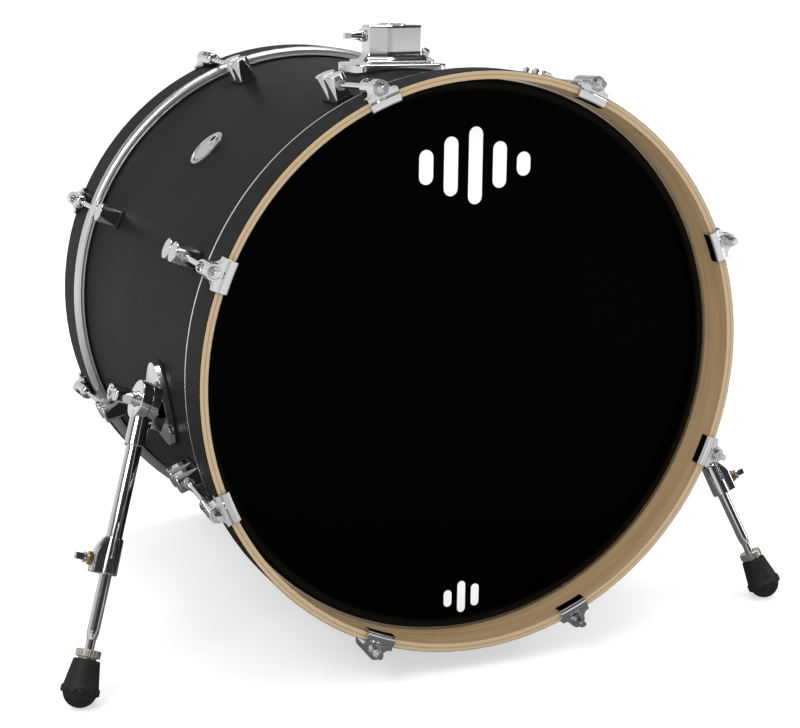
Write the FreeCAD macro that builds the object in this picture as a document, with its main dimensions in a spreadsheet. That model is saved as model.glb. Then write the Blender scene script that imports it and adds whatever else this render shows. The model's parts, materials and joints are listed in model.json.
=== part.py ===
import FreeCAD, Part
import math
import os
import Sketcher

# A 22 x 18 inch bass drum. Millimetres throughout.
#
# Every sub-part is first described in the drum's own frame: the origin is the centre of the front
# hoop's front edge, +X is right, +Y runs along the drum's axis to the rear, +Z is up. Pieces that
# repeat round the drum are described once at the three o'clock station, with +X pointing out of the
# drum, and turned into place. At the end everything gets one placement, STAND, which tips the drum
# back onto its rear hoop and two spur feet and puts the floor at z = 0.

doc = FreeCAD.newDocument("bass_drum")
Vector, Rotation, Placement = FreeCAD.Vector, FreeCAD.Rotation, FreeCAD.Placement

# ---------------------------------------------------------------- driving dimensions

DIMENSIONS = {
    # wooden shell and the laminate round it
    "shell_outer": 278.9, "shell_thick": 5.6, "shell_length": 457.2, "shell_front": 38.7,
    "edge_bevel": 3.2, "wrap_thick": 0.5, "wrap_margin": 14,
    # counter hoops
    "hoop_outer": 290.9, "hoop_inner": 283, "hoop_width": 44.45, "inlay_thick": 0.6,
    "drum_length": 534.6,
    # heads: film, collar and flesh hoop
    "film_thick": 0.4, "film_crown": 277, "flesh_inner": 281.2, "flesh_outer": 291.1,
    "flesh_width": 9.5, "flesh_lip": 0.9, "collar_depth": 13,
    # claws
    "claw_width": 32, "claw_plate": 2.7, "pad_thick": 0.7, "claw_lip": 9.5, "claw_saddle": 15,
    "claw_rise": 2.7, "claw_step": 1.2, "web_rise": 7.8, "slot_half": 4.2, "boss_radius": 8,
    "nose_length": 36, "boss_front": -2.6,
    # tension rods, washers, swivel nuts; a rod leans in from the claw to the lug
    "rod_radius": 3, "rod_at_claw": 299.2, "rod_at_lug": 295.2, "rod_span": 98, "rod_length": 112,
    "rod_collar": 5, "rod_collar_thick": 2.2, "key_size": 6.2, "key_length": 7.8,
    "washer_radius": 6.3, "washer_thick": 1.2, "swivel_radius": 4.6, "swivel_length": 13,
    # lugs
    "lug_face": 101.5, "lug_pitch": 21.6, "lug_height": 23.4, "lug_base_half": 8.6,
    "lug_top_half": 10.2, "lug_base_depth": 7.9, "gasket_thick": 2,
    "lug_screw": 2.4,
    # vent badge
    "badge_radius": 22, "badge_along": 264.5, "badge_thick": 1.5, "vent_radius": 4.2,
    # tom mount
    "mount_along": 236, "plate_half_x": 52, "plate_half_y": 34, "plate_top": 285.4,
    "flange_half_x": 41, "flange_half_y": 26.5, "flange_top": 288.4, "tower_half_x": 31.5,
    "tower_side": 9.5, "tower_apex": 17.5, "tower_ridge": 7, "tower_top": 325,
    "post_radius": 12.8,
    # spurs: foot, leg and hinge; distances along the leg count from the foot
    "foot_x": 397.5, "foot_y": 61.6, "foot_z": -301.7, "pivot_dist": 295,
    "disc_radius": 20, "disc_thick": 11, "tube_outer": 7.95, "tube_inner": 6.35,
    "socket_radius": 10.4, "socket_end": 248, "collar_low": 119, "collar_high": 155,
    "inner_rod": 5.95, "rod_top": 225, "neck_radius": 4.6, "neck_end": 55, "jam_low": 37.5,
    "jam_high": 45, "jam_radius": 12.3, "foot_ball": 17, "foot_ball_dist": 6, "foot_top": 35.6,
    "plate_centre_angle": 190.2, "plate_along": 177, "oval_half_height": 44,
    "oval_half_width": 31,
    # how the drum stands: leaning back, lifted and moved so that the origin is under its middle
    "stand_lean": 2.67, "stand_up": 316.1, "stand_back": -267.01,
}

sheet = doc.addObject("Spreadsheet::Sheet", "Dimensions")
for row, (alias, value) in enumerate(DIMENSIONS.items(), start=1):
    sheet.set(f"A{row}", alias)
    sheet.set(f"B{row}", str(value))
    sheet.setAlias(f"B{row}", alias)
doc.recompute()


def size(alias):
    """The value of one cell of the sheet."""
    return float(sheet.get(alias))


def cells(formula):
    """A formula in which every alias is turned into a reference to the sheet."""
    words, word = [], ""
    for letter in str(formula) + " ":
        if letter.isalnum() or letter == "_":
            word += letter
            continue
        words.append(f"Dimensions.{word}" if word in DIMENSIONS else word)
        words.append(letter)
        word = ""
    return "".join(words).strip()


def value_of(formula):
    """The number that a formula over the sheet's aliases comes to."""
    return float(sheet.evalExpression(str(formula)))


# ---------------------------------------------------------------- document object helpers


def bind(obj, **formulas):
    """Bind each named property of an object to a formula over the sheet."""
    for name, formula in formulas.items():
        obj.setExpression(name, cells(formula))
    return obj


def make(kind, label, place=Placement(), **formulas):
    """A Part primitive bound to the sheet and put in place."""
    obj = doc.addObject(kind, label)
    bind(obj, **formulas)
    obj.Placement = place
    return obj


def along_x(x=0, y=0, z=0):
    """Placement that turns a primitive's own +Z to +X."""
    return Placement(Vector(x, y, z), Rotation(Vector(0, 1, 0), 90))


def along_y(x=0, y=0, z=0):
    """Placement that turns a primitive's own +Z to +Y."""
    return Placement(Vector(x, y, z), Rotation(Vector(1, 0, 0), -90))


def at(x=0, y=0, z=0):
    return Placement(Vector(x, y, z), Rotation())


def cylinder(label, radius, height, place):
    return make("Part::Cylinder", label, place, Radius=radius, Height=height)


def box(label, length, width, height, place):
    return make("Part::Box", label, place, Length=length, Width=width, Height=height)


def cone(label, start, end, height, place):
    return make("Part::Cone", label, place, Radius1=start, Radius2=end, Height=height)


def fuse(label, *shapes):
    obj = doc.addObject("Part::MultiFuse", label)
    obj.Shapes = list(shapes)
    obj.Refine = True
    return obj


def common(label, *shapes):
    obj = doc.addObject("Part::MultiCommon", label)
    obj.Shapes = list(shapes)
    return obj


def cut(label, base, *tools):
    obj = doc.addObject("Part::Cut", label)
    obj.Base = base
    obj.Tool = tools[0] if len(tools) == 1 else fuse(f"{label}_tools", *tools)
    return obj


def rounded(label, base, radius, chosen):
    """Fillet the edges of base for which chosen(edge) is true."""
    doc.recompute()
    edges = [i for i, edge in enumerate(base.Shape.Edges, start=1) if chosen(edge)]
    obj = doc.addObject("Part::Fillet", label)
    obj.Base = base
    obj.Edges = [(i, radius, radius) for i in edges]
    return obj


def moved(label, base, place):
    """The same object in another place."""
    obj = doc.addObject("Part::Compound", label)
    obj.Links = [base]
    obj.Placement = place
    return obj


def group(label, pieces):
    """One object holding several pieces as separate solids."""
    obj = doc.addObject("Part::Compound", label)
    obj.Links = list(pieces)
    return obj


def copies(label, base, places):
    """One object holding a copy of base at each place."""
    return group(label, [moved(f"{label}_{i}", base, place) for i, place in enumerate(places, start=1)])


def sketch_on(body, outline):
    """A closed sketch of straight lines through (x, y) formulas, every corner constrained."""
    plane = next(f for f in body.Origin.OriginFeatures if f.Role == "XY_Plane")
    sketch = body.newObject("Sketcher::SketchObject", f"{body.Name}_outline")
    sketch.AttachmentSupport = (plane, "")
    sketch.MapMode = "FlatFace"
    corners = [Vector(value_of(x), value_of(y), 0) for x, y in outline]
    count = len(corners)
    for i, corner in enumerate(corners):
        sketch.addGeometry(Part.LineSegment(corner, corners[(i + 1) % count]))
    for i in range(count):
        sketch.addConstraint(Sketcher.Constraint("Coincident", i, 2, (i + 1) % count, 1))
    for i, (x, y) in enumerate(outline):
        for kind, formula, number in (("DistanceX", x, corners[i].x), ("DistanceY", y, corners[i].y)):
            index = sketch.addConstraint(Sketcher.Constraint(kind, -1, 1, i, 1, number))
            sketch.setExpression(f"Constraints[{index}]", cells(formula))
    return sketch


def turned_ring(label, outline, degrees=360):
    """A PartDesign body: an outline of (y, radius) formulas turned about the drum's axis.

    A part turn is centred on the +X station.
    """
    body = doc.addObject("PartDesign::Body", label)
    sketch = sketch_on(body, [(radius, along) for along, radius in outline])
    turn = body.newObject("PartDesign::Revolution", f"{label}_turn")
    turn.Profile = sketch
    turn.ReferenceAxis = (sketch, ["V_Axis"])
    turn.Angle = degrees
    turn.Midplane = degrees < 360
    return body


def station(degrees):
    """Placement that carries the +X station round the drum's axis, towards +Z."""
    return Placement(Vector(), Rotation(Vector(0, -1, 0), degrees))


# The rear half of the drum is the front half turned end for end.
END_FOR_END = Placement(Vector(0, size("drum_length"), 0), Rotation(Vector(0, 0, 1), 180))
STATIONS = [22.5 + 45 * i for i in range(8)]
FRONT = [station(angle) for angle in STATIONS]
REAR = [END_FOR_END.multiply(place) for place in FRONT]

nodes = {}

# ---------------------------------------------------------------- heads and hoops

inlays, flesh_hoops = [], []
for end in ("front", "rear"):
    place = Placement() if end == "front" else END_FOR_END
    hoop = turned_ring(f"{end}_hoop_body", [
        ("0.8", "hoop_inner"), ("0", "hoop_inner + 0.8"), ("0", "hoop_outer"),
        ("hoop_width", "hoop_outer"), ("hoop_width", "hoop_inner")])
    nodes[f"{end}_hoop"] = moved(f"{end}_hoop", hoop, place)
    band = turned_ring(f"{end}_inlay_body", [
        ("0.4", "hoop_outer"), ("0.4", "hoop_outer + inlay_thick"),
        ("hoop_width - 0.4", "hoop_outer + inlay_thick"), ("hoop_width - 0.4", "hoop_outer")])
    inlays.append(moved(f"{end}_inlay", band, place))
    film = turned_ring(f"{end}_head_body", [
        ("shell_front - film_thick", "0"), ("shell_front - film_thick", "film_crown + 0.2"),
        ("shell_front + 2.2", "film_crown + 2.8"), ("shell_front + 5.4", "flesh_inner"),
        ("shell_front + collar_depth", "flesh_inner"),
        ("shell_front + collar_depth", "flesh_inner - film_thick"),
        ("shell_front + 5.6", "flesh_inner - film_thick"),
        ("shell_front + 2.3", "film_crown + 2.4"), ("shell_front", "film_crown"),
        ("shell_front", "0")])
    nodes[f"{end}_head"] = moved(f"{end}_head", film, place)
    flesh = turned_ring(f"{end}_flesh_body", [
        ("hoop_width", "flesh_inner"), ("hoop_width", "flesh_outer - 0.3"),
        ("hoop_width + 0.3", "flesh_outer"), ("hoop_width + 3.2", "flesh_outer"),
        ("hoop_width + flesh_width * 0.55", "flesh_outer - 0.5"),
        ("hoop_width + flesh_width * 0.77", "flesh_outer - 1.8"),
        ("hoop_width + flesh_width * 0.92", "flesh_outer - 3.6"),
        ("hoop_width + flesh_width", "flesh_outer - 6"),
        ("hoop_width + flesh_width", "flesh_inner + flesh_lip + 1"),
        ("hoop_width + flesh_width - 0.8", "flesh_inner + flesh_lip"),
        ("hoop_width + flesh_width + 1", "flesh_inner + flesh_lip"),
        ("hoop_width + flesh_width + 1", "flesh_inner")])
    flesh_hoops.append(moved(f"{end}_flesh_hoop", flesh, place))

nodes["hoop_inlays"] = group("hoop_inlays", inlays)
nodes["flesh_hoops"] = group("flesh_hoops", flesh_hoops)

# ---------------------------------------------------------------- claws, rods and lugs

# The line of a tension rod: its seat on the claw and its lean in towards the lug.
LEAN = math.degrees(math.atan2(size("rod_at_claw") - size("rod_at_lug"), size("rod_span")))
ROD_LINE = Placement(Vector(size("rod_at_claw"), 0, 0), Rotation(Vector(0, 0, 1), LEAN))


def on_rod(distance):
    """Placement on the rod's line with +Z along it, towards the lug."""
    return ROD_LINE.multiply(along_y(0, distance, 0))


CLAW_TURN = math.degrees(size("claw_width") / size("hoop_outer"))
OVER = "hoop_outer + inlay_thick + pad_thick"
hook = turned_ring("claw_hook", [
    ("-pad_thick - claw_plate + 3.8", "hoop_inner - pad_thick - 2.5"),
    ("-pad_thick - claw_plate + 2.2", "hoop_inner - pad_thick - 2.2"),
    ("-pad_thick - claw_plate + 1", "hoop_inner - pad_thick - 1.4"),
    ("-pad_thick - claw_plate + 0.3", "hoop_inner - pad_thick - 0.2"),
    ("-pad_thick - claw_plate", "hoop_inner + 0.9"),
    ("-pad_thick - claw_plate", "hoop_outer - 2.6"),
    ("-pad_thick - claw_plate + 0.5", "hoop_outer - 1.8"),
    ("-pad_thick - claw_step", "hoop_outer - 0.6"),
    ("-pad_thick - claw_step", OVER + " + claw_rise"),
    ("claw_saddle", OVER + " + claw_rise"), ("claw_saddle", OVER), ("-pad_thick", OVER),
    ("-pad_thick", "hoop_inner - pad_thick"), ("claw_lip", "hoop_inner - pad_thick"),
    ("claw_lip", "hoop_inner - pad_thick - 1.6"), ("claw_lip - 1", "hoop_inner - pad_thick - 2.5")],
    CLAW_TURN)
SADDLE = value_of(OVER)
web = box("claw_web", "web_rise", "claw_saddle + pad_thick + claw_step", "claw_width - 2",
          at(SADDLE, -value_of("pad_thick + claw_step"), -size("claw_width") / 2 + 1))
shoulders = [cylinder(f"claw_shoulder_{name}", 7.5, "claw_saddle + 10",
                      along_y(SADDLE + 9.4, -5, side * 15.4))
             for name, side in (("a", -1), ("b", 1))]
corners = [cylinder(f"claw_corner_{name}", 9.5, 20,
                    along_x(SADDLE - 5, size("claw_saddle") + 1, side * 17.6))
           for name, side in (("a", -1), ("b", 1))]
barrel = cylinder("claw_barrel", "boss_radius", "nose_length - boss_front", on_rod(size("boss_front")))
nose = rounded("claw_nose", barrel, 4.2, lambda edge: edge.BoundBox.YMin > 30)
under = box("claw_under", 30, 80, 60, at(SADDLE - 30, -20, -30))
bore = cylinder("claw_bore", "rod_radius + 0.5", 60, on_rod(-8))
SLOT_START = 10 + size("slot_half")
SLOT_END = size("nose_length") - 5 - size("slot_half")
slot = box("claw_slot", 14, SLOT_END - SLOT_START, "2 * slot_half",
           at(296.5, SLOT_START, -size("slot_half")))
slot_ends = [cylinder(f"claw_slot_{name}", "slot_half", 14, along_x(296.5, y, 0))
             for name, y in (("start", SLOT_START), ("end", SLOT_END))]
hook_and_web = cut("claw_saddle_part", fuse("claw_hook_and_web", hook, cut("claw_bell", web, *shoulders)),
                   *corners)
casting = fuse("claw_casting", hook_and_web, cut("claw_nose_flat", nose, under))
claw = cut("claw", casting, bore, slot, *slot_ends)
nodes["claws"] = copies("claws", claw, FRONT + REAR)

pad = turned_ring("claw_pad", [
    ("-pad_thick", "hoop_inner - pad_thick"), ("-pad_thick", OVER),
    ("claw_saddle - 9", OVER), ("claw_saddle - 9", "hoop_outer + inlay_thick"),
    ("0", "hoop_outer + inlay_thick"), ("0", "hoop_inner"), ("claw_lip - 1", "hoop_inner"),
    ("claw_lip - 1", "hoop_inner - pad_thick")], CLAW_TURN - 0.2)
nodes["claw_pads"] = copies("claw_pads", pad, FRONT + REAR)

washer = cut("washer", cylinder("washer_disc", "washer_radius", "washer_thick",
                                on_rod(size("boss_front") - size("washer_thick"))),
             cylinder("washer_hole", "rod_radius + 0.35", 10, on_rod(-6)))
nodes["rod_washers"] = copies("rod_washers", washer, FRONT + REAR)

SEAT = size("boss_front") - size("washer_thick")
COLLAR_FRONT = SEAT - size("rod_collar_thick")
shank = cylinder("rod_shank", "rod_radius", "rod_length", on_rod(SEAT))
collar = cylinder("rod_collar_disc", "rod_collar", "rod_collar_thick", on_rod(COLLAR_FRONT))
key = common("rod_key",
             box("rod_key_bar", "key_size", "key_size", "key_length",
                 on_rod(COLLAR_FRONT - size("key_length")).multiply(
                     at(-size("key_size") / 2, -size("key_size") / 2, 0))),
             cone("rod_key_point", "key_size * 0.5", "key_size * 0.5 + key_length * 1.4",
                  "key_length", on_rod(COLLAR_FRONT - size("key_length"))))
rod = fuse("tension_rod", shank, collar, key)
for end, places in (("front", FRONT), ("rear", REAR)):
    for i, place in enumerate(places, start=1):
        label = f"{end}_tension_rod_{i}"
        nodes[label] = moved(label, rod, place)

SWIVEL_START = size("lug_face") - 4.2
swivel = cut("swivel_nut",
             fuse("swivel_body",
                  cylinder("swivel_barrel", "swivel_radius", "swivel_length", on_rod(SWIVEL_START)),
                  cylinder("swivel_lip", "swivel_radius + 0.9", 1.6, on_rod(SWIVEL_START + 1.2))),
             cylinder("swivel_bore", "rod_radius + 0.05", 40, on_rod(SWIVEL_START - 5)))
nodes["swivel_nuts"] = copies("swivel_nuts", swivel, FRONT + REAR)

LUG_FOOT = size("shell_outer") + size("wrap_thick") + size("gasket_thick")


def lug_post(label, along):
    """A post that is square at its foot and grows out into a round face."""
    middle = Placement(Vector(LUG_FOOT, along, 0), Rotation(Vector(0, 1, 0), 90))
    square = make("Part::Wedge", f"{label}_square",
                  middle.multiply(Placement(Vector(), Rotation(Vector(1, 0, 0), 90))),
                  Ymin=0, Ymax="lug_height",
                  Xmin="-lug_base_half", Xmax="lug_base_half",
                  X2min="-lug_top_half", X2max="lug_top_half",
                  Zmin="-lug_base_depth", Zmax="lug_base_depth",
                  Z2min="-lug_top_half", Z2max="lug_top_half")
    flare = cone(f"{label}_cone", "lug_base_half * 1.31", "lug_top_half * 1.02", "lug_height", middle)
    return common(label, square, flare)


POST_NEAR = size("lug_face") + size("lug_top_half")
POST_FAR = POST_NEAR + size("lug_pitch")
bridge = box("lug_bridge", "lug_height * 0.62", "lug_pitch", 11, at(LUG_FOOT, POST_NEAR, -5.5))
lug_block = fuse("lug_block", lug_post("lug_near", POST_NEAR), lug_post("lug_far", POST_FAR), bridge)
lug_hollow = fuse("lug_hollow",
                  cylinder("lug_bore", "swivel_radius + 0.02", 13.4, on_rod(SWIVEL_START)),
                  cylinder("lug_mouth", "swivel_radius + 1.6", 6, on_rod(SWIVEL_START - 1.5)),
                  cylinder("lug_rod_hole", "rod_radius + 0.5", 19, on_rod(SWIVEL_START)))
lug_threads = [cylinder(f"lug_thread_{i}", "lug_screw", 9, along_x(LUG_FOOT - 1, along, 0))
               for i, along in enumerate((POST_NEAR, POST_FAR))]
lug = rounded("lug_soft", cut("lug", lug_block, lug_hollow, *lug_threads), 0.9,
              lambda edge: edge.BoundBox.XMin > LUG_FOOT + size("lug_height") - 0.01)
nodes["lugs"] = copies("lugs", lug, FRONT + REAR)

PAD_START = POST_NEAR - size("lug_base_depth") - 1.6
PAD_LENGTH = size("lug_pitch") + 2 * size("lug_base_depth") + 3.2
lug_pad_holes = [cylinder(f"lug_pad_hole_{i}", "lug_screw", 20, along_x(LUG_FOOT - 12, along, 0))
                 for i, along in enumerate((POST_NEAR, POST_FAR))]
lug_pad = cut("lug_gasket",
              rounded("lug_gasket_plate",
                      box("lug_gasket_blank", "gasket_thick + 0.7", PAD_LENGTH, 20.4,
                          at(LUG_FOOT - size("gasket_thick") - 0.7, PAD_START, -10.2)),
                      3.5, lambda edge: abs(edge.BoundBox.XLength - size("gasket_thick") - 0.7) < 0.01),
              cylinder("lug_gasket_seat", "shell_outer + wrap_thick", 600, along_y(0, -30, 0)),
              *lug_pad_holes)
nodes["lug_gaskets"] = copies("lug_gaskets", lug_pad, FRONT + REAR)

SHELL_INSIDE = size("shell_outer") - size("shell_thick")


def inner_screw(label, tip):
    """A screw with a flanged head inside the shell and its tip at the given radius."""
    start = SHELL_INSIDE - 1
    return fuse(label, cylinder(f"{label}_shank", "lug_screw", tip - start, along_x(start)),
                cylinder(f"{label}_flange", 6, 1.6, along_x(start - 0.75)),
                cone(f"{label}_head", 2.6, 4.6, 2.6, along_x(start - 3.3)))


lug_screw = inner_screw("lug_screw", LUG_FOOT + 7)
screw_pair = copies("lug_screw_pair", lug_screw, [at(0, POST_NEAR, 0), at(0, POST_FAR, 0)])
nodes["lug_screws"] = copies("lug_screws", screw_pair, FRONT + REAR)

# ---------------------------------------------------------------- tom mount on top of the drum

ALONG = size("mount_along")


def slab(label, half_x, half_y, low, high, corner):
    """A block standing on the top of the drum, its upright corners rounded."""
    blank = box(f"{label}_blank", f"2 * {half_x}", f"2 * {half_y}", high - low,
                at(-value_of(half_x), ALONG - value_of(half_y), low))
    return rounded(label, blank, corner, lambda edge: edge.BoundBox.ZLength > 1)


def round_drum(label, radius):
    """A long cylinder on the drum's axis."""
    return cylinder(label, radius, 700, along_y(0, -60, 0))


GASKET_FACE = "shell_outer + wrap_thick + gasket_thick"
mount_plate = rounded("mount_plate", slab("mount_plate_slab", "plate_half_x", "plate_half_y", 262,
                                          size("plate_top"), 12), 2.2,
                      lambda edge: edge.BoundBox.ZMin > size("plate_top") - 0.01)
flange = rounded("mount_flange", slab("mount_flange_slab", "flange_half_x", "flange_half_y", 275,
                                      size("flange_top"), 9), 1,
                 lambda edge: edge.BoundBox.ZMin > size("flange_top") - 0.01)
TOWER = [("tower_half_x", "-tower_side"), ("tower_half_x", "tower_side"),
         ("tower_ridge + 5", "tower_apex"), ("tower_ridge", "tower_apex"),
         ("-tower_half_x", "tower_side"), ("-tower_half_x", "-tower_side"),
         ("-tower_ridge - 5", "-tower_apex"), ("-tower_ridge", "-tower_apex")]


def prism(label, outline, low, high):
    """A PartDesign pad on a polygon of (x, y) formulas round the mount's centre."""
    body = doc.addObject("PartDesign::Body", label)
    rise = body.newObject("PartDesign::Pad", f"{label}_pad")
    rise.Profile = sketch_on(body, outline)
    rise.Length = high - low
    return moved(f"{label}_up", body, at(0, ALONG, low))


tower = rounded("tower", prism("tower_prism", TOWER, 270, size("tower_top")), 2.8,
                lambda edge: edge.BoundBox.ZMin > size("tower_top") - 0.01 or edge.BoundBox.ZLength > 50)
dome = make("Part::Sphere", "mount_dome", at(-24.5, ALONG, 314), Radius=9.5)
ring = cylinder("mount_ring", "post_radius + 2", 12, at(0, ALONG, size("tower_top") - 10.6))
skirt = fuse("mount_flange_and_tower", flange, tower)
flared = rounded("mount_flared", skirt, 9.4,
                 lambda edge: abs(edge.BoundBox.ZMin - size("flange_top")) < 0.01
                 and edge.BoundBox.ZLength < 0.01
                 and max(abs(edge.BoundBox.XMin), abs(edge.BoundBox.XMax)) < size("tower_half_x") + 0.1
                 and abs(edge.BoundBox.Center.y - ALONG) < size("tower_apex") + 0.1)
mount = cut("mount", fuse("mount_casting", mount_plate, flared, dome, ring),
            round_drum("mount_seat", GASKET_FACE),
            cylinder("mount_post_hole", "post_radius", 80, at(0, ALONG, 260)),
            cylinder("mount_key_hole", 3.05, 40, along_x(-40, ALONG, 314)))
SIDE_ANGLE = math.degrees(math.asin(40 / value_of(GASKET_FACE)))
MOUNT_SCREWS = [station(90 + turn).multiply(at(0, ALONG + step, 0))
                for turn in (-SIDE_ANGLE, SIDE_ANGLE) for step in (-24, 24)]
mount_screw_holes = copies("mount_screw_holes",
                           cylinder("mount_screw_hole", "lug_screw", 20, along_x(265.4)), MOUNT_SCREWS)
hex_line = Placement(Vector(35.5, ALONG, 296.5), Rotation(Vector(0, 1, 0), 116))
hex_hole = cylinder("hex_hole", 3, 14, hex_line.multiply(at(0, 0, -12)))
hex_face = cylinder("hex_face", 7, 20, hex_line.multiply(at(0, 0, 0.4)))
nodes["tom_mount_base"] = moved("tom_mount_base", cut("mount_drilled", mount, mount_screw_holes, hex_hole,
                                                      hex_face), Placement())
mount_gasket = cut(
    "tom_mount_gasket",
    common("mount_gasket_curve", slab("mount_gasket_slab", "(plate_half_x + 1)", "(plate_half_y + 1)",
                                      262, 292, 13),
           round_drum("mount_gasket_top", GASKET_FACE)),
    round_drum("mount_gasket_seat", "shell_outer + wrap_thick"),
    cylinder("mount_gasket_hole", "post_radius + 0.6", 80, at(0, ALONG, 260)),
    copies("mount_gasket_holes", cylinder("mount_gasket_screw", "lug_screw", 20, along_x(270)),
           MOUNT_SCREWS))
clamp_bolt = fuse("clamp_bolt",
                  cylinder("clamp_shank", 3, 22, along_x(-36, ALONG, 314)),
                  cylinder("clamp_flange", 6.5, 2, along_x(-36.3, ALONG, 314)),
                  cone("clamp_cone", 2.9, 5.6, 12, along_x(-48.2, ALONG, 314)),
                  box("clamp_key", 7, 6, 6, at(-54.8, ALONG - 3, 311)))
nodes["tom_mount_key_bolt"] = moved("tom_mount_key_bolt", clamp_bolt, Placement())
hex_bolt = fuse("hex_bolt", cylinder("hex_shank", 3, 12, hex_line.multiply(at(0, 0, -11.5))),
                make("Part::Prism", "hex_head", hex_line.multiply(at(0, 0, 0.4)), Circumradius=5.6,
                     Height=6))
nodes["tom_mount_hex_bolt"] = moved("tom_mount_hex_bolt", hex_bolt, Placement())
mount_screws = copies("tom_mount_screws", inner_screw("mount_screw", 285.2), MOUNT_SCREWS)

# ---------------------------------------------------------------- vent badge

BADGE = station(135).multiply(at(0, size("badge_along"), 0))
VENT = station(132.6).multiply(at(0, size("badge_along"), 0))
badge_face = common("badge_face", cylinder("badge_disc", "badge_radius", 14, BADGE.multiply(along_x(272))),
                    round_drum("badge_face_top", "shell_outer + wrap_thick + badge_thick"))
badge_rim = cut("badge_rim",
                common("badge_rim_disc", cylinder("badge_rim_blank", "badge_radius", 14,
                                                  BADGE.multiply(along_x(272))),
                       round_drum("badge_rim_top", "shell_outer + wrap_thick + badge_thick + 0.6")),
                cylinder("badge_rim_inside", "badge_radius - 2", 40, BADGE.multiply(along_x(262))))
badge = cut("badge", fuse("badge_body", badge_face, badge_rim),
            round_drum("badge_seat", "shell_outer + wrap_thick"),
            cylinder("badge_vent", "vent_radius + 1.6", 30, VENT.multiply(along_x(260))))
nodes["vent_badge"] = moved("vent_badge", badge, Placement())
BADGE_FACE = size("shell_outer") + size("wrap_thick") + size("badge_thick")


def on_vent(offset):
    """Placement on the vent's axis, offset outwards from the badge's face."""
    return VENT.multiply(along_x(BADGE_FACE + offset))


grommet = cut("grommet",
              fuse("grommet_body",
                   cylinder("grommet_tube", "vent_radius + 1.5", 11, on_vent(-10)),
                   cylinder("grommet_flange", "vent_radius + 3.2", 1.2, on_vent(0.1)),
                   cylinder("grommet_roll", "vent_radius + 3", 1.2, on_vent(-9.2))),
              cylinder("grommet_bore", "vent_radius", 40, on_vent(-20)))
nodes["vent_grommet"] = moved("vent_grommet", grommet, Placement())

# ---------------------------------------------------------------- spurs

# Only the left spur is described; the right one is its mirror image.
# The leg's own frame: +Z runs up the leg, +X along the hinge axis away from the drum, +Y forward.
FOOT = Vector(-size("foot_x"), size("foot_y"), size("foot_z"))
LEG_UP = Vector(0.3307, 0.3286, 0.8847)
OUT = Vector(-0.9367, 0, 0.3501)
LEG = Placement(FOOT, Rotation(OUT, Vector(), LEG_UP, "ZXY"))
PIVOT = LEG.multVec(Vector(0, 0, size("pivot_dist")))
# The bracket's frame: same +X, +Z square to the drum's axis, origin on the hinge.
BRACKET = Placement(PIVOT, Rotation(OUT, Vector(0, -1, 0), Vector(), "XYZ"))
UP_THE_LEG = LEG.multiply(Placement(Vector(), Rotation(Vector(1, 0, 0), 90)))


def on_hinge(offset):
    """Placement on the hinge axis with +Z pointing away from the drum."""
    return LEG.multiply(along_x(offset, 0, size("pivot_dist")))


def on_leg(x=0, y=0, z=0):
    return LEG.multiply(at(x, y, z))


def turned(label, outline):
    """A piece turned about the leg: (distance from the foot, radius) formulas."""
    return moved(f"{label}_placed", turned_ring(label, outline), UP_THE_LEG)


spur = {}

foot_body = turned("foot_turning", [
    ("foot_ball_dist - foot_ball", "0"), ("foot_ball_dist - foot_ball * 0.97", "foot_ball * 0.26"),
    ("foot_ball_dist - foot_ball * 0.87", "foot_ball * 0.5"),
    ("foot_ball_dist - foot_ball * 0.71", "foot_ball * 0.71"),
    ("foot_ball_dist - foot_ball * 0.5", "foot_ball * 0.87"),
    ("foot_ball_dist - foot_ball * 0.26", "foot_ball * 0.97"),
    ("foot_ball_dist - 3.2", "foot_ball + 2"), ("foot_ball_dist + 2", "foot_ball + 2"),
    ("foot_ball_dist + 4.2", "foot_ball + 0.3"), ("foot_ball_dist + 26", "13.6"),
    ("foot_top - 0.8", "13.2"), ("foot_top", "12.2"), ("foot_top", "neck_radius + 0.05"),
    ("-5", "neck_radius + 0.05"), ("-5", "0")])
flutes = [cylinder(f"foot_flute_{i}", 2.1, 12,
                   on_leg().multiply(Placement(Vector(), Rotation(Vector(0, 0, 1), 30 * i))).multiply(
                       at(size("foot_ball") + 2.4, 0, size("foot_ball_dist") - 12.5)))
          for i in range(12)]
spur["rubber_foot"] = cut("foot_fluted", foot_body, *flutes)

jam_body = turned("jam_turning", [
    ("foot_top + 0.3", "neck_radius + 0.05"), ("foot_top + 0.3", "9"), ("jam_low", "9"),
    ("jam_low", "jam_radius - 0.8"), ("jam_low + 0.8", "jam_radius"), ("jam_high - 0.8", "jam_radius"),
    ("jam_high", "jam_radius - 0.8"), ("jam_high", "neck_radius + 0.05")])
knurls = [cylinder(f"jam_groove_{i}", 0.9, 20,
                   on_leg().multiply(Placement(Vector(), Rotation(Vector(0, 0, 1), 15 * i))).multiply(
                       at(size("jam_radius") + 0.3, 0, size("jam_low") - 5)))
          for i in range(24)]
spur["jam_nut"] = cut("jam_knurled", jam_body, *knurls)

spur["inner_rod"] = turned("inner_rod_turning", [
    ("-4", "0"), ("4", "neck_radius"), ("neck_end", "neck_radius"), ("neck_end + 2", "neck_radius + 0.6"),
    ("neck_end + 5.5", "inner_rod - 0.2"), ("neck_end + 8.5", "inner_rod"),
    ("rod_top - 1", "inner_rod"), ("rod_top", "inner_rod - 1"), ("rod_top", "0")])

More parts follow.
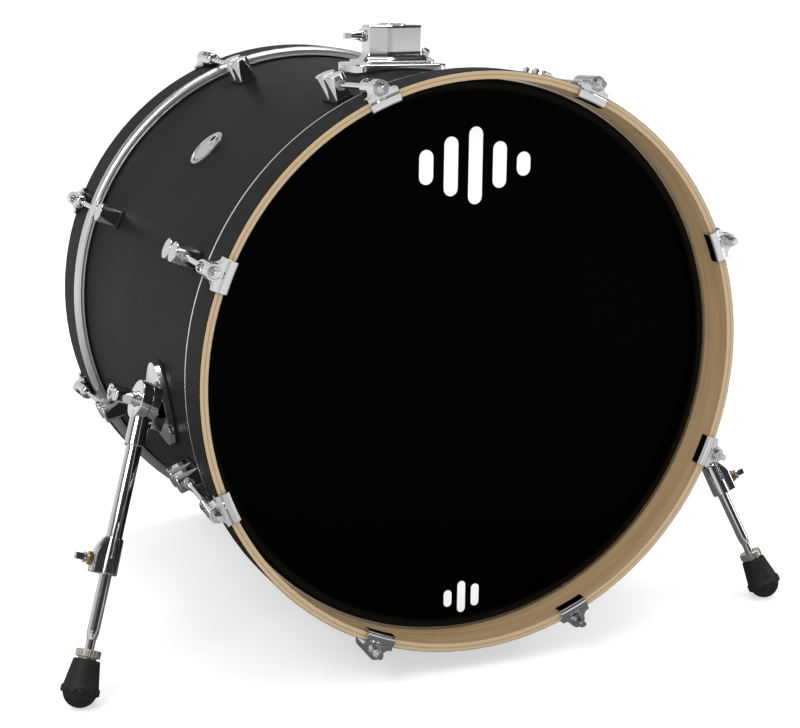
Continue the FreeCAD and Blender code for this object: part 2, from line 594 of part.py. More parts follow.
CLAMP = 131
outer_tube = turned("outer_tube_turning", [
    ("collar_low + 7", "tube_inner"), ("collar_low + 7", "tube_outer"),
    ("pivot_dist - 22", "tube_outer"), ("pivot_dist - 22", "tube_inner")])
knuckle = rounded("knuckle_disc",
                  cylinder("knuckle_blank", "disc_radius", "disc_thick + 0.5", on_hinge(-2)), 1.4,
                  lambda edge: edge.Length > 50)
socket = turned("socket_turning", [
    ("socket_end", "tube_outer"), ("socket_end", "socket_radius - 0.8"),
    ("socket_end + 0.8", "socket_radius"), ("pivot_dist - 12", "socket_radius"),
    ("pivot_dist - 12", "0"), ("pivot_dist - 22", "0"), ("pivot_dist - 22", "tube_outer")])
leg_casting = fuse("leg_casting", knuckle,
                   cut("socket_clear", socket, cylinder("bracket_swing", "disc_radius + 0.6", 16,
                                                        on_hinge(-18))))
spur["leg"] = cut("leg_drilled", leg_casting, cylinder("leg_bore", 4.05, 30, on_hinge(-6)))
# The slot that lets the tube close on the rod, in the tube and in its collar.
SLOT = on_leg().multiply(Placement(Vector(), Rotation(Vector(0, 0, 1), -16)))
tube_slot = box("tube_slot", 3.6, 16, 34, SLOT.multiply(at(-1.8, 2, 136)))
tube_slot_end = cylinder("tube_slot_end", 1.8, 16,
                         SLOT.multiply(Placement(Vector(0, 2, 136), Rotation(Vector(1, 0, 0), -90))))
spur["outer_tube"] = cut("outer_tube_drilled", outer_tube, tube_slot, tube_slot_end,
                         cylinder("tube_screw_hole", 3.3, 14, LEG.multiply(along_x(0, 0, CLAMP))))

collar_turning = turned("collar_turning", [
    ("collar_low", "inner_rod + 0.06"), ("collar_low", "10"), ("collar_low + 0.8", "10.6"),
    ("collar_high - 1", "10"), ("collar_high", "9.2"), ("collar_high", "tube_outer"),
    ("collar_low + 7", "tube_outer"), ("collar_low + 7", "inner_rod + 0.06")])
collar_block = make("Part::Wedge", "collar_block", on_leg(0, 0, size("collar_low")),
                    Xmin=0, Xmax=18, X2min=0, X2max=18, Ymin=-8, Ymax=8,
                    Zmin=0, Zmax="collar_high - collar_low", Z2min=0, Z2max="collar_high - collar_low")
swell = common("collar_swell",
               rounded("collar_soft", collar_block, 5, lambda edge: edge.BoundBox.ZLength > 20),
               turned("collar_taper", [
                   ("collar_low", "0"), ("collar_low", "18"), ("collar_low + 12", "19.5"),
                   ("collar_low + 26", "15.5"), ("collar_high - 1", "10.8"), ("collar_high - 1", "0")]))
collar_boss = cut("collar_boss", swell,
                  cylinder("collar_boss_tube", "tube_outer", 60, on_leg(0, 0, size("collar_low") + 7)),
                  cylinder("collar_boss_rod", "inner_rod + 0.06", 60, on_leg(0, 0, size("collar_low") - 20)))
spur["height_collar"] = cut("collar_slotted", fuse("collar_body", collar_turning, collar_boss),
                            tube_slot, tube_slot_end,
                            cylinder("collar_screw_hole", 3.05, 30, LEG.multiply(along_x(0, 0, CLAMP))))
LOCK = LEG.multiply(along_x(18.1, 0, CLAMP))
spur["lock_nut"] = cut("lock_nut", make("Part::Prism", "lock_nut_hex", LOCK, Circumradius=6.6, Height=3.8),
                       cylinder("lock_nut_bore", 3.05, 20, LEG.multiply(along_x(10, 0, CLAMP))))
spur["clamp_screw"] = fuse("clamp_screw_body",
                           cylinder("clamp_screw_shank", 3, 19.6, LEG.multiply(along_x(6.3, 0, CLAMP))),
                           cylinder("clamp_screw_flange", 5.2, 2, LEG.multiply(along_x(24.4, 0, CLAMP))),
                           box("clamp_screw_key", 9, 6.2, 6.2, on_leg(25.6, -3.1, CLAMP - 3.1)))

spur["pivot_bolt"] = fuse("pivot_bolt_body", cylinder("pivot_shank", 4, 42, on_hinge(-10)),
                          cylinder("pivot_tip", 3.2, 1, on_hinge(31.9)))
spur["pivot_washer"] = cut("pivot_washer_ring", cylinder("pivot_washer_disc", 8.2, 1.6, on_hinge(9.6)),
                           cylinder("pivot_washer_hole", 4.1, 6, on_hinge(8)))
# The wing nut: a paddle that widens away from the drum, on a short neck.
WING_TURN = Placement(Vector(), Rotation(Vector(0, 0, 1), -25))
paddle = make("Part::Wedge", "wing_paddle",
              on_hinge(14).multiply(WING_TURN).multiply(Placement(Vector(), Rotation(Vector(1, 0, 0), 90))),
              Ymin=0, Ymax=22, Xmin=-6.6, Xmax=6.6, Zmin=-6.4, Zmax=6.4,
              X2min=-6, X2max=6, Z2min=-16.5, Z2max=16.5)
soft_paddle = rounded("wing_soft", paddle, 3.2, lambda edge: edge.Length > 1)
hub = fuse("wing_hub", cylinder("wing_neck", 6.6, 8, on_hinge(11.4)),
           cylinder("wing_barrel", 7.9, 19.5, on_hinge(17)))
spur["wing_nut"] = cut("wing_nut_bored", fuse("wing_nut_body", hub, soft_paddle),
                       cylinder("wing_bore", 4.05, 60, on_hinge(5)),
                       cylinder("wing_recess", 5.6, 8, on_hinge(33)))

PLATE = station(size("plate_centre_angle")).multiply(at(0, size("plate_along"), 0))
SEAT_RADIUS = value_of(GASKET_FACE)


def oval(label, grow):
    """An oval prism through the shell under the spur's plate."""
    ellipse = make("Part::Ellipse", f"{label}_ellipse",
                   PLATE.multiply(Placement(Vector(266, 0, 0), Rotation(Vector(0, 1, 0), -90))),
                   MajorRadius=f"oval_half_height + {grow}", MinorRadius=f"oval_half_width + {grow}")
    solid = doc.addObject("Part::Extrusion", label)
    solid.Base = ellipse
    solid.DirMode = "Custom"
    solid.Dir = PLATE.Rotation.multVec(Vector(1, 0, 0))
    solid.LengthFwd = 40
    solid.Solid = True
    return solid


pillow = make("Part::Ellipsoid", "bracket_dome", PLATE.multiply(at(SEAT_RADIUS - 13.5, 0, 0)),
              Radius1=55.2, Radius2=25, Radius3=46.3)
shelf = box("bracket_shelf", 12, 27, 13, BRACKET.multiply(at(-22.6, -14, -23.5)))
bridge_top = box("bracket_bridge", 12, 20, 11, BRACKET.multiply(at(-20, -10, 5)))
hinge_disc = cylinder("bracket_disc", "disc_radius - 0.6", 8.6, on_hinge(-10.9))
bracket = fuse("bracket_casting", common("bracket_plate", oval("bracket_oval", 0), pillow),
               shelf, bridge_top, hinge_disc)
SCREW_TURN = 6.2
PLATE_SCREWS = [station(size("plate_centre_angle") + turn).multiply(at(0, size("plate_along"), 0))
                for turn in (-SCREW_TURN, SCREW_TURN)]
spur["bracket"] = cut("bracket_drilled", bracket, round_drum("bracket_seat", GASKET_FACE),
                      cylinder("bracket_bore", 4, 40, on_hinge(-10.4)),
                      copies("bracket_screw_holes", cylinder("bracket_screw_hole", "lug_screw", 20.5,
                                                             along_x(266)), PLATE_SCREWS))
spur["gasket"] = cut("spur_gasket_drilled",
                     common("spur_gasket_curve", oval("spur_gasket_oval", 1.3),
                            round_drum("spur_gasket_top", GASKET_FACE)),
                     round_drum("spur_gasket_seat", "shell_outer + wrap_thick"),
                     copies("spur_gasket_holes", cylinder("spur_gasket_hole", "lug_screw", 20, along_x(268)),
                            PLATE_SCREWS))
spur["screw"] = copies("left_spur_screws", inner_screw("spur_screw", 286), PLATE_SCREWS)

# Pieces that stay on the shell share a node with their mirror image, and with the tom mount's own.
SHARED = {"gasket": ("mounting_gaskets", [mount_gasket]), "screw": ("mounting_screws", [mount_screws]),
          "pivot_bolt": ("spur_pivot_bolts", []), "pivot_washer": ("spur_pivot_washers", [])}
for name, left in spur.items():
    right = doc.addObject("Part::Mirroring", f"right_{name}_mirror")
    right.Source = left
    right.Normal = Vector(1, 0, 0)
    if name in SHARED:
        label, others = SHARED[name]
        nodes[label] = group(label, [left, right, *others])
    else:
        nodes[f"left_spur_{name}"] = moved(f"left_spur_{name}", left, Placement())
        nodes[f"right_spur_{name}"] = moved(f"right_spur_{name}", right, Placement())

# ---------------------------------------------------------------- shell, drilled for every fastener

shell_tube = turned_ring("shell_tube", [
    ("shell_front + shell_thick - edge_bevel", "shell_outer"),
    ("shell_front", "shell_outer - shell_thick + edge_bevel"),
    ("shell_front + edge_bevel", "shell_outer - shell_thick"),
    ("shell_front + shell_length - edge_bevel", "shell_outer - shell_thick"),
    ("shell_front + shell_length", "shell_outer - shell_thick + edge_bevel"),
    ("shell_front + shell_length - shell_thick + edge_bevel", "shell_outer")])
wrap_skin = turned_ring("wrap_skin", [
    ("shell_front + wrap_margin", "shell_outer"), ("shell_front + wrap_margin", "shell_outer + wrap_thick"),
    ("shell_front + shell_length - wrap_margin", "shell_outer + wrap_thick"),
    ("shell_front + shell_length - wrap_margin", "shell_outer")])
hole = cylinder("screw_hole", "lug_screw + 0.3", 24, along_x(264))
hole_pair = copies("screw_hole_pair", hole, [at(0, POST_NEAR, 0), at(0, POST_FAR, 0)])
lug_holes = copies("lug_holes", hole_pair, FRONT + REAR)
mount_holes = copies("mount_holes", hole, MOUNT_SCREWS)
left_holes = copies("left_spur_holes", hole, PLATE_SCREWS)
right_holes = doc.addObject("Part::Mirroring", "right_spur_holes")
right_holes.Source = left_holes
right_holes.Normal = Vector(1, 0, 0)
vent_hole = cylinder("vent_hole", "vent_radius + 1.6", 30, VENT.multiply(along_x(262)))
drilling = group("drilling", [lug_holes, mount_holes, left_holes, right_holes, vent_hole])
nodes["shell"] = moved("shell", cut("shell_drilled", shell_tube, drilling), Placement())
nodes["shell_wrap"] = moved("shell_wrap", cut("wrap_drilled", wrap_skin, drilling), Placement())

# ---------------------------------------------------------------- stand the drum on the floor and save

STAND = Placement(Vector(0, size("stand_back"), size("stand_up")),
                  Rotation(Vector(1, 0, 0), -size("stand_lean")))
for node in nodes.values():
    node.Placement = STAND.multiply(node.Placement)
doc.recompute()

for obj in doc.Objects:
    if "Invalid" in obj.State or "Error" in obj.State:
        raise RuntimeError(f"{obj.Label} does not compute: {obj.State}")
for label, node in nodes.items():
    if node.Shape.isNull() or not node.Shape.isValid():
        raise RuntimeError(f"{label} has no valid shape")

os.makedirs("parts", exist_ok=True)
for label, node in nodes.items():
    node.Shape.exportStep(f"parts/{label}.step")
bounds = FreeCAD.BoundBox()
for node in nodes.values():
    bounds.add(node.Shape.BoundBox)
print(len(nodes), "nodes", bounds)
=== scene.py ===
"""Looks, studio and camera for the bass drum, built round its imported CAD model. Metres throughout."""

import json
import math

import bpy
from mathutils import Matrix, Vector


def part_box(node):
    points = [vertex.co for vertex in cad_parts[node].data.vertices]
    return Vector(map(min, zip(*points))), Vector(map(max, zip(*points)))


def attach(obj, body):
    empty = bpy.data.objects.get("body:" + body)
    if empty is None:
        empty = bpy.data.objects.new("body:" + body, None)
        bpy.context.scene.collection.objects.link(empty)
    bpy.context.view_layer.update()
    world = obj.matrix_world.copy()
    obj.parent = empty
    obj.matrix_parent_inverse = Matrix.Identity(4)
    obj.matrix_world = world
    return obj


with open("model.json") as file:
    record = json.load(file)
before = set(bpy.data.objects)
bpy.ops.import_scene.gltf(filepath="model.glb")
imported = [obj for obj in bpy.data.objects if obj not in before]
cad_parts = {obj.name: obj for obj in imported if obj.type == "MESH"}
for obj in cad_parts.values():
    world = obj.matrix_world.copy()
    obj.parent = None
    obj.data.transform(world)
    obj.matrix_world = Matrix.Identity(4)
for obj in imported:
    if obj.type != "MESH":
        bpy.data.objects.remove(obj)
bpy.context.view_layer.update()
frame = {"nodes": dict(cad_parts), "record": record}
nodes = frame["nodes"]

# ---------------------------------------------------------------- the drum's own frame


def centre(node):
    """The middle of a CAD node's box."""
    low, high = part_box(node)
    return (low + high) / 2


def half_width(node):
    """Half a CAD node's size from left to right, its radius where it is round."""
    low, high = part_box(node)
    return (high.x - low.x) / 2


AXIS = (centre("rear_hoop") - centre("front_hoop")).normalized()
LEAN = math.atan2(-AXIS.z, AXIS.y)
DRUM_ORIGIN = centre("front_hoop")
HOOP_OUTER = half_width("front_hoop")
SHELL_RADIUS = half_width("shell_wrap")

# ---------------------------------------------------------------- node tree helpers


class Tree:
    """A short way to write a shader node tree."""

    def __init__(self, name):
        self.material = bpy.data.materials.new(name)
        self.material.use_nodes = True
        self.nodes = self.material.node_tree.nodes
        self.links = self.material.node_tree.links
        self.shader = self.nodes["Principled BSDF"]

    def add(self, kind, inputs=None, **settings):
        node = self.nodes.new(kind)
        for key, value in settings.items():
            setattr(node, key, value)
        for key, value in (inputs or {}).items():
            self.put(node.inputs[key], value)
        return node

    def put(self, socket, value):
        if isinstance(value, bpy.types.NodeSocket):
            self.links.new(value, socket)
        elif isinstance(value, tuple) and len(value) == 3 and socket.type == "RGBA":
            socket.default_value = (*value, 1)
        else:
            socket.default_value = value

    def maths(self, operation, a, b=0.0, c=0.0):
        node = self.add("ShaderNodeMath", operation=operation)
        for socket, value in zip(node.inputs, (a, b, c)):
            self.put(socket, value)
        return node.outputs[0]

    def ramp(self, factor, stops, interpolation="LINEAR"):
        node = self.add("ShaderNodeValToRGB", {"Fac": factor})
        ramp = node.color_ramp
        ramp.interpolation = interpolation
        while len(ramp.elements) < len(stops):
            ramp.elements.new(0.5)
        for element, (place, colour) in zip(ramp.elements, stops):
            element.position = place
            element.color = (*colour, 1) if isinstance(colour, tuple) else (colour,) * 3 + (1,)
        return node.outputs["Color"]

    def mix(self, factor, a, b, blend="MIX"):
        node = self.add("ShaderNodeMix", data_type="RGBA", blend_type=blend)
        self.put(node.inputs["Factor"], factor)
        self.put(node.inputs[6], a)
        self.put(node.inputs[7], b)
        return node.outputs[2]

    def noise(self, vector, scale, detail=3.0, roughness=0.55):
        node = self.add("ShaderNodeTexNoise",
                        {"Vector": vector, "Scale": scale, "Detail": detail, "Roughness": roughness})
        return node.outputs[0]

    def place(self):
        """Position on the piece in the row frame; it stays with the piece when that moves."""
        return self.add("ShaderNodeTexCoord").outputs["Object"]

    def drum_place(self):
        """(x, along the drum, z) measured from the front hoop's middle, square to the drum."""
        return self.add("ShaderNodeMapping", {"Vector": self.place(), "Location": tuple(DRUM_ORIGIN),
                                              "Rotation": (-LEAN, 0, 0)}, vector_type="TEXTURE").outputs[0]

    def round_the_drum(self):
        """(radius, arc length at the shell's skin, distance along the drum) as three sockets."""
        parts = self.add("ShaderNodeSeparateXYZ", {"Vector": self.drum_place()}).outputs
        radius = self.maths("SQRT", self.maths("ADD", self.maths("MULTIPLY", parts[0], parts[0]),
                                               self.maths("MULTIPLY", parts[2], parts[2])))
        turn = self.maths("ARCTAN2", parts[2], parts[0])
        return radius, self.maths("MULTIPLY", turn, SHELL_RADIUS), parts[1]

    def vector(self, x, y, z):
        return self.add("ShaderNodeCombineXYZ", {"X": x, "Y": y, "Z": z}).outputs[0]

    def bump(self, height, distance, strength=1.0, normal=None):
        node = self.add("ShaderNodeBump", {"Height": height, "Distance": distance, "Strength": strength})
        if normal is not None:
            self.links.new(normal, node.inputs["Normal"])
        return node.outputs[0]

    def soft_edges(self, radius):
        return self.add("ShaderNodeBevel", {"Radius": radius}, samples=6).outputs[0]

    def finish(self, **inputs):
        for key, value in inputs.items():
            self.put(self.shader.inputs[key.replace("_", " ")], value)
        return self.material


def ripple(tree, length, period):
    """A smooth wave from 0 to 1 with the given period."""
    wave = tree.maths("SINE", tree.maths("MULTIPLY", length, 2 * math.pi / period))
    return tree.maths("MULTIPLY_ADD", wave, 0.5, 0.5)


# ---------------------------------------------------------------- materials


def carbon_wrap():
    """Black laminate with a fine twill: raised diagonal ribs, crossed by a fainter second family."""
    t = Tree("carbon_wrap")
    rib_period, tow_period = 0.0051, 0.00256
    _, arc, along = t.round_the_drum()
    rib = ripple(t, t.maths("SUBTRACT", arc, along), rib_period)
    crossing = ripple(t, t.maths("ADD", arc, along), rib_period)
    tows = t.maths("MULTIPLY", ripple(t, arc, tow_period), ripple(t, along, tow_period))
    weave = t.maths("MULTIPLY_ADD", crossing, 0.2, t.maths("MULTIPLY", rib, 0.8))
    base = t.ramp(weave, [(0.4, (0.0005, 0.0005, 0.0006)), (0.9, (0.018, 0.018, 0.0192))])
    colour = t.mix(t.maths("MULTIPLY", tows, 0.12), base, (0.02, 0.02, 0.021))
    cloud = t.noise(t.place(), 9, 2)
    rough = t.maths("MULTIPLY_ADD", cloud, 0.08, t.maths("MULTIPLY_ADD", rib, -0.1, 0.44))
    return t.finish(Base_Color=colour, Roughness=rough, Normal=t.bump(weave, 0.0004, 0.8),
                    Specular_IOR_Level=0.035)


def wood(name, pale, dark, line, plies=None, gloss=0.35):
    """Maple ply: circumferential grain on the faces, ply lines where an edge shows them."""
    t = Tree(name)
    radius, arc, along = t.round_the_drum()
    grain_place = t.vector(t.maths("MULTIPLY", arc, 6.0), t.maths("MULTIPLY", along, 240.0),
                           t.maths("MULTIPLY", radius, 90.0))
    grain = t.noise(grain_place, 1.0, 6, 0.62)
    figure_place = t.vector(t.maths("MULTIPLY", arc, 16.0), t.maths("MULTIPLY", along, 30.0), radius)
    figure = t.noise(figure_place, 1.0, 3)
    face = t.mix(t.ramp(grain, [(0.32, 0.0), (0.7, 1.0)]), pale, dark)
    face = t.mix(t.maths("MULTIPLY", figure, 0.35), face, line)
    colour = face
    if plies:
        inner, outer, count = plies
        share = t.maths("DIVIDE", t.maths("SUBTRACT", radius, inner), outer - inner)
        layer = t.maths("FRACT", t.maths("MULTIPLY", share, float(count)))
        glue = t.ramp(layer, [(0.0, 1.0), (0.14, 0.0), (0.86, 0.0), (1.0, 1.0)])
        middle = t.ramp(share, [(0.42, 0.0), (0.47, 1.0), (0.56, 1.0), (0.61, 0.0)])
        geometry = t.add("ShaderNodeNewGeometry").outputs["True Normal"]
        facing = t.add("ShaderNodeVectorMath", {0: geometry, 1: tuple(AXIS)}, operation="DOT_PRODUCT")
        on_edge = t.maths("GREATER_THAN", t.maths("ABSOLUTE", facing.outputs["Value"]), 0.6)
        edge = t.mix(t.maths("MULTIPLY", glue, 0.55), (0.43, 0.33, 0.2), line)
        edge = t.mix(t.maths("MULTIPLY", middle, 0.75), edge, line)
        edge = t.mix(t.maths("MULTIPLY", grain, 0.3), edge, dark)
        colour = t.mix(on_edge, face, edge)
    return t.finish(Base_Color=colour, Roughness=t.maths("MULTIPLY_ADD", grain, 0.15, gloss),
                    Normal=t.bump(grain, 0.0001, 0.25), Specular_IOR_Level=0.4)


def head_film():
    """Black film, smooth and nearly mirror flat, a little browner where it bends down to its hoop."""
    t = Tree("head_film")
    radius, _, _ = t.round_the_drum()
    haze = t.noise(t.place(), 14, 3)
    ring = t.ramp(radius, [(0.0, 0.0), (0.2695, 0.0), (0.2705, 1.0), (1.0, 1.0)])
    colour = t.mix(ring, (0.0003, 0.0003, 0.0003), (0.006, 0.0055, 0.004))
    return t.finish(Base_Color=colour, Roughness=t.maths("MULTIPLY_ADD", haze, 0.08, 0.16),
                    Specular_IOR_Level=0.015)


def metal(name, colour, rough, spread=0.05, edges=0.0004, bump=0.000005):
    """Plated or bare metal: roughness wanders a little, edges are softly rounded."""
    t = Tree(name)
    smudge = t.noise(t.place(), 60, 3)
    shade = t.mix(t.maths("MULTIPLY", smudge, 0.35), colour, tuple(0.86 * c for c in colour))
    return t.finish(Base_Color=shade, Metallic=1.0,
                    Roughness=t.maths("MULTIPLY_ADD", smudge, spread, rough),
                    Normal=t.bump(t.noise(t.place(), 300, 2), bump, 0.3, t.soft_edges(edges)))


def badge_metal():
    """Satin plate with a dented groove round its rim, the groove coloured dark as painted shade."""
    t = Tree("badge")
    badge_radius = 0.022
    middle = tuple(centre("vent_badge"))
    offset = t.add("ShaderNodeVectorMath", {0: t.place(), 1: middle}, operation="SUBTRACT")
    radius = t.add("ShaderNodeVectorMath", {0: offset.outputs[0]}, operation="LENGTH").outputs["Value"]
    groove_and_painted_shade = t.ramp(t.maths("DIVIDE", radius, badge_radius),
                    [(0.0, 0.0), (0.74, 0.0), (0.77, 1.0), (0.83, 1.0), (0.86, 0.0), (1.0, 0.0)])
    brushed = t.noise(t.place(), 220, 3)
    # The groove's dark colour is painted shade; its dent comes from the bump below.
    colour = t.mix(groove_and_painted_shade, (0.76, 0.76, 0.77), (0.16, 0.16, 0.17))
    return t.finish(Base_Color=colour, Metallic=1.0, Roughness=t.maths("MULTIPLY_ADD", brushed, 0.1, 0.3),
                    Normal=t.bump(groove_and_painted_shade, 0.0002, -0.6, t.soft_edges(0.0004)))


def white_print():
    """Matt white ink."""
    t = Tree("white_print")
    grain = t.noise(t.place(), 700, 3)
    return t.finish(Base_Color=t.mix(grain, (0.78, 0.78, 0.81), (0.84, 0.84, 0.86)), Roughness=0.5,
                    Normal=t.bump(grain, 0.00002, 0.3))


def rubber():
    """Matt black rubber, a little dusty."""
    t = Tree("rubber")
    grain = t.noise(t.place(), 1400, 3)
    dust = t.noise(t.place(), 45, 3)
    colour = t.mix(t.maths("MULTIPLY", dust, 0.5), (0.007, 0.007, 0.007), (0.018, 0.017, 0.016))
    return t.finish(Base_Color=colour, Roughness=t.maths("MULTIPLY_ADD", grain, 0.2, 0.5),
                    Normal=t.bump(grain, 0.00008, 0.4, t.soft_edges(0.0006)), Specular_IOR_Level=0.3)


HOOP_THICK, HOOP_PLIES = 0.0079, 6
HOOP_INNER = HOOP_OUTER - HOOP_THICK
MATERIALS = {
    "maple": wood("maple", (0.6, 0.46, 0.3), (0.45, 0.32, 0.18), (0.33, 0.21, 0.11)),
    "maple_hoop": wood("maple_hoop", (0.49, 0.355, 0.2), (0.34, 0.225, 0.11), (0.2, 0.125, 0.07),
                       plies=(HOOP_INNER, HOOP_OUTER, HOOP_PLIES)),
    "carbon_wrap": carbon_wrap(),
    "black_film": head_film(),
    "aluminium": metal("aluminium", (0.80, 0.79, 0.78), 0.3),
    "badge": badge_metal(),
    "chrome": metal("chrome", (0.80, 0.80, 0.82), 0.08),
    "zinc_steel": metal("zinc_steel", (0.62, 0.62, 0.64), 0.28),
    "satin_steel": metal("satin_steel", (0.60, 0.57, 0.52), 0.34),
    "brass": metal("brass", (0.72, 0.53, 0.25), 0.25),
    "rubber": rubber(),
}

for part in frame["record"]["subparts"]:
    piece = nodes[part["node"]]
    piece.data.materials.clear()
    piece.data.materials.append(MATERIALS[part["material_slot"]])
    for polygon in piece.data.polygons:
        polygon.use_smooth = True

# ---------------------------------------------------------------- printed marks on the front head

# The front head's outer face lies a little behind the middle of its hoop's width.
HEAD_SET_BACK = 0.01608
HEAD_FACE = DRUM_ORIGIN + HEAD_SET_BACK * AXIS
SIDEWAYS = Vector((1, 0, 0))
UPWARDS = SIDEWAYS.cross(AXIS)


def bar_mark(name, across, up, heights, width, pitch, near=0.0001, far=0.0003, steps=8):
    """A plain row of round-ended upright bars of ink, like a sound level; each bar is a closed plate."""
    points, faces = [], []
    for number, height in enumerate(heights):
        middle = across + (number - (len(heights) - 1) / 2) * pitch
        straight = (height - width) / 2
        outline = []
        for side in (1, -1):
            for step in range(steps + 1):
                angle = math.pi * step / steps
                outline.append((middle + side * width / 2 * math.cos(angle),
                                up + side * (straight + width / 2 * math.sin(angle))))
        first, count = len(points), len(outline)
        for depth in (near, far):
            points += [HEAD_FACE + x * SIDEWAYS + z * UPWARDS - depth * AXIS for x, z in outline]
        faces.append([first + i for i in reversed(range(count))])
        faces.append([first + count + i for i in range(count)])
        for i in range(count):
            j = (i + 1) % count
            faces.append([first + i, first + j, first + count + j, first + count + i])
    mesh = bpy.data.meshes.new(name)
    mesh.from_pydata(points, [], faces)
    mesh.materials.append(PRINT)
    mark = bpy.data.objects.new(name, mesh)
    bpy.context.scene.collection.objects.link(mark)
    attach(mark, "drum")


PRINT = white_print()
bar_mark("front_head_mark", 0.004, 0.197, (0.034, 0.058, 0.076, 0.046, 0.024), 0.015, 0.0265)
bar_mark("front_head_small_mark", -0.002, -0.248, (0.018, 0.034, 0.024), 0.009, 0.0155)

# ---------------------------------------------------------------- studio


def floor_white():
    """Matt white that only a contact shadow greys; to plated parts it shows a painted shadow instead, a glow
    darker close to the drum.
    """
    t = Tree("studio_white")
    speckle = t.noise(t.place(), 40, 2)
    t.finish(Base_Color=t.mix(speckle, (0.55, 0.55, 0.55), (0.57, 0.57, 0.57)), Roughness=0.9,
             Emission_Color=(1, 1, 1), Emission_Strength=0.54)
    distance = t.add("ShaderNodeVectorMath", {0: t.place()}, operation="LENGTH").outputs["Value"]
    far_off = t.maths("DIVIDE", distance, 6.0)
    # Painted shadow, seen only in reflections: a glowing grey that is darker close to the drum.
    grey = t.ramp(far_off, [(0.0, 0.08), (0.08, 0.16), (0.14, 0.55), (0.3, 0.85), (1.0, 0.85)])
    painted_reflection_glow = t.add("ShaderNodeEmission", {"Color": grey})
    choose = t.add("ShaderNodeMixShader")
    t.links.new(t.add("ShaderNodeLightPath").outputs["Is Glossy Ray"], choose.inputs["Fac"])
    t.links.new(t.shader.outputs[0], choose.inputs[1])
    t.links.new(painted_reflection_glow.outputs[0], choose.inputs[2])
    t.links.new(choose.outputs[0], t.nodes["Material Output"].inputs["Surface"])
    return t.material


def studio_floor(half=40.0):
    """One flat pale sheet, wide enough to fill every view."""
    corners = [(-half, -half, 0), (half, -half, 0), (half, half, 0), (-half, half, 0)]
    mesh = bpy.data.meshes.new("studio_floor")
    mesh.from_pydata(corners, [], [(0, 1, 2, 3)])
    floor = bpy.data.objects.new("studio_floor", mesh)
    bpy.context.scene.collection.objects.link(floor)
    mesh.materials.append(floor_white())


studio_floor()


def softbox(name, place, aim, size, power):
    """A rectangular area light that faces its aim."""
    data = bpy.data.lights.new(name, "AREA")
    data.shape = "RECTANGLE"
    data.size, data.size_y = size
    data.energy = power
    light = bpy.data.objects.new(name, data)
    light.location = place
    light.rotation_mode = "QUATERNION"
    light.rotation_quaternion = (Vector(aim) - Vector(place)).to_track_quat("-Z", "Y")
    bpy.context.scene.collection.objects.link(light)


TARGET = Vector((0, 0, 0.3))
softbox("key", (-2.2, -1.5, 2.6), TARGET, (1.4, 1.2), 46)
softbox("overhead", (0.2, 0.5, 3.4), TARGET, (2.6, 1.4), 60)
softbox("right_fill", (2.8, -1.2, 1.4), TARGET, (0.8, 2.2), 20)


LEFTWARDS = (-0.915, 0.403, 0)


def grey_bands(tree, factor, stops):
    """A ramp of greys over one factor of the world's node tree."""
    bands = tree.nodes.new("ShaderNodeValToRGB")
    while len(bands.color_ramp.elements) < len(stops):
        bands.color_ramp.elements.new(0.5)
    for element, (place, grey) in zip(bands.color_ramp.elements, stops):
        element.position = place
        element.color = (grey, grey, grey, 1)
    tree.links.new(factor, bands.inputs["Fac"])
    return bands.outputs["Color"]


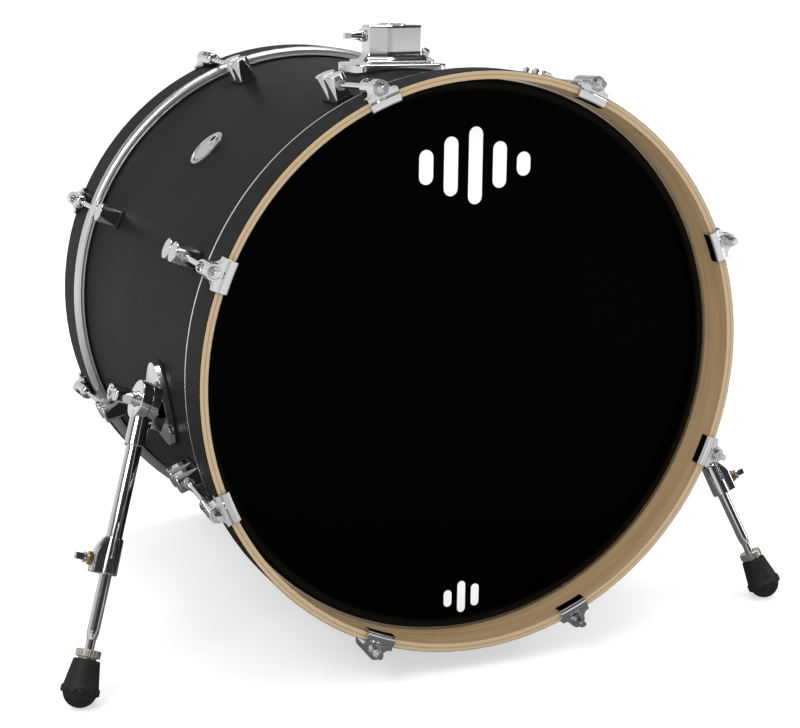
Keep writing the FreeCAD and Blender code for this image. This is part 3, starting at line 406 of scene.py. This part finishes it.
def studio_world():
    """White to the camera and to matt surfaces; plated ones mirror a pale left side and a dark right one."""
    world = bpy.data.worlds.new("studio")
    world.use_nodes = True
    bpy.context.scene.world = world
    shaders, links = world.node_tree.nodes, world.node_tree.links
    plain_sky = shaders["Background"]
    plain_sky.inputs["Color"].default_value = (1, 1, 1, 1)
    plain_sky.inputs["Strength"].default_value = 1.0
    direction = shaders.new("ShaderNodeTexCoord").outputs["Generated"]
    height = shaders.new("ShaderNodeSeparateXYZ")
    links.new(direction, height.inputs[0])
    leftwards = shaders.new("ShaderNodeVectorMath")
    leftwards.operation = "DOT_PRODUCT"
    links.new(direction, leftwards.inputs[0])
    leftwards.inputs[1].default_value = LEFTWARDS
    shifted = shaders.new("ShaderNodeMath")
    shifted.operation = "MULTIPLY_ADD"
    links.new(leftwards.outputs["Value"], shifted.inputs[0])
    shifted.inputs[1].default_value = 0.5
    shifted.inputs[2].default_value = 0.5
    side = grey_bands(world.node_tree, shifted.outputs[0],
                      [(0.0, 0.0), (0.38, 0.0), (0.56, 1.0), (1.0, 1.0)])
    pale = grey_bands(world.node_tree, height.outputs["Z"],
                      [(0.0, 0.75), (0.38, 0.6), (0.5, 0.12), (0.82, 0.06), (1.0, 0.4)])
    dark = grey_bands(world.node_tree, height.outputs["Z"],
                      [(0.0, 0.5), (0.05, 0.3), (0.1, 0.04), (0.75, 0.025), (1.0, 0.4)])
    blend = shaders.new("ShaderNodeMix")
    blend.data_type = "RGBA"
    links.new(side, blend.inputs["Factor"])
    links.new(dark, blend.inputs[6])
    links.new(pale, blend.inputs[7])
    banded_sky = shaders.new("ShaderNodeBackground")
    links.new(blend.outputs[2], banded_sky.inputs["Color"])
    choose = shaders.new("ShaderNodeMixShader")
    links.new(shaders.new("ShaderNodeLightPath").outputs["Is Glossy Ray"], choose.inputs["Fac"])
    links.new(plain_sky.outputs[0], choose.inputs[1])
    links.new(banded_sky.outputs[0], choose.inputs[2])
    links.new(choose.outputs[0], shaders["World Output"].inputs["Surface"])


studio_world()

# ---------------------------------------------------------------- camera

FOCAL_LENGTH, SENSOR = 77.32, 36.0
CAMERA_PLACE = Vector((-0.7432, -1.71365, 0.76978))
FORWARD = Vector((0.3959, 0.87872, -0.26682)).normalized()
RIGHT = Vector((0.9147, -0.40292, 0.0303))
RIGHT = (RIGHT - FORWARD * RIGHT.dot(FORWARD)).normalized()
UP = RIGHT.cross(FORWARD)

lens = bpy.data.cameras.new("camera")
lens.lens = FOCAL_LENGTH
lens.sensor_width = SENSOR
lens.clip_start, lens.clip_end = 0.05, 50
camera = bpy.data.objects.new("camera", lens)
turn = Matrix((RIGHT, UP, -FORWARD)).transposed()
camera.matrix_world = Matrix.Translation(CAMERA_PLACE) @ turn.to_4x4()
bpy.context.scene.collection.objects.link(camera)
bpy.context.scene.camera = camera
bpy.context.scene.view_settings.view_transform = "Standard"
